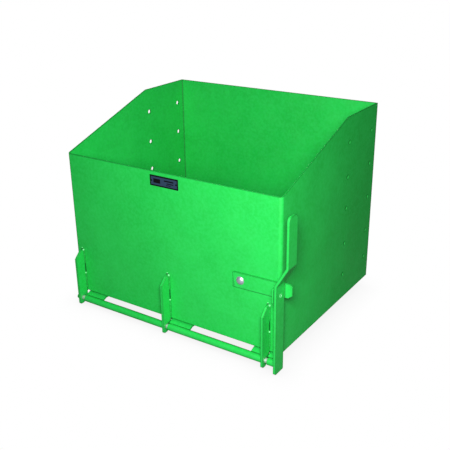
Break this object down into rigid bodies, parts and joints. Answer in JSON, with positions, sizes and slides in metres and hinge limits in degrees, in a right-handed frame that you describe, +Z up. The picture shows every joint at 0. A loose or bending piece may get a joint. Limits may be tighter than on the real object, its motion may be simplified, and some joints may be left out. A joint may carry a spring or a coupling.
{
  "type": "drop-bottom feed hopper",
  "caption": "Open-topped welded steel feed hopper with a low front, a hinged drop-bottom floor worked by a joggled side lever, and a pivoting latch bar.",
  "frame": {"origin": "on the ground under the middle of the hopper's plan, in the resting face of the centre stiffener", "axes": "+X to the lever side, +Y to the high rear panel, +Z up"},
  "size_m": [0.6493, 0.5173, 0.505],
  "materials": {
    "green_powder_coat": "gloss bright green powder coat over welded sheet steel",
    "bare_steel": "bare cold-drawn steel, lightly scratched",
    "zinc_plate": "bright zinc plate",
    "dark_nameplate": "satin dark slate with a black border, no lettering",
    "dark_rivets": "black rivet heads"
  },
  "bodies": {
    "hopper": {"wrap_panel": "green_powder_coat", "rear_panel": "green_powder_coat", "hinge_lug_left": "green_powder_coat", "hinge_lug_centre": "green_powder_coat", "hinge_lug_right": "green_powder_coat", "hinge_pin": "bare_steel", "nameplate": "dark_nameplate", "nameplate_rivets": "dark_rivets"},
    "floor_door": {"door_plate": "green_powder_coat", "hinge_tube_left": "green_powder_coat", "hinge_tube_right": "green_powder_coat", "hinge_tube_lever": "green_powder_coat", "stiffener_left": "green_powder_coat", "stiffener_centre": "green_powder_coat", "stiffener_right": "green_powder_coat", "lever_arm": "green_powder_coat", "lever_ear": "green_powder_coat"},
    "latch": {"latch_strap": "green_powder_coat", "latch_lug": "green_powder_coat", "latch_bolt": "zinc_plate", "latch_washer": "zinc_plate", "latch_nut": "zinc_plate"}
  },
  "joints": [
    {"name": "door_hinge", "type": "hinge", "parent": "hopper", "child": "floor_door", "pos_m": [0, -0.256, 0.015], "axis": [1, 0, 0], "range_deg": [-75, 0]},
    {"name": "latch_pivot", "type": "hinge", "parent": "hopper", "child": "latch", "pos_m": [0.2039, -0.2395, 0.189], "axis": [0, -1, 0], "range_deg": [0, 80]}
  ]
}
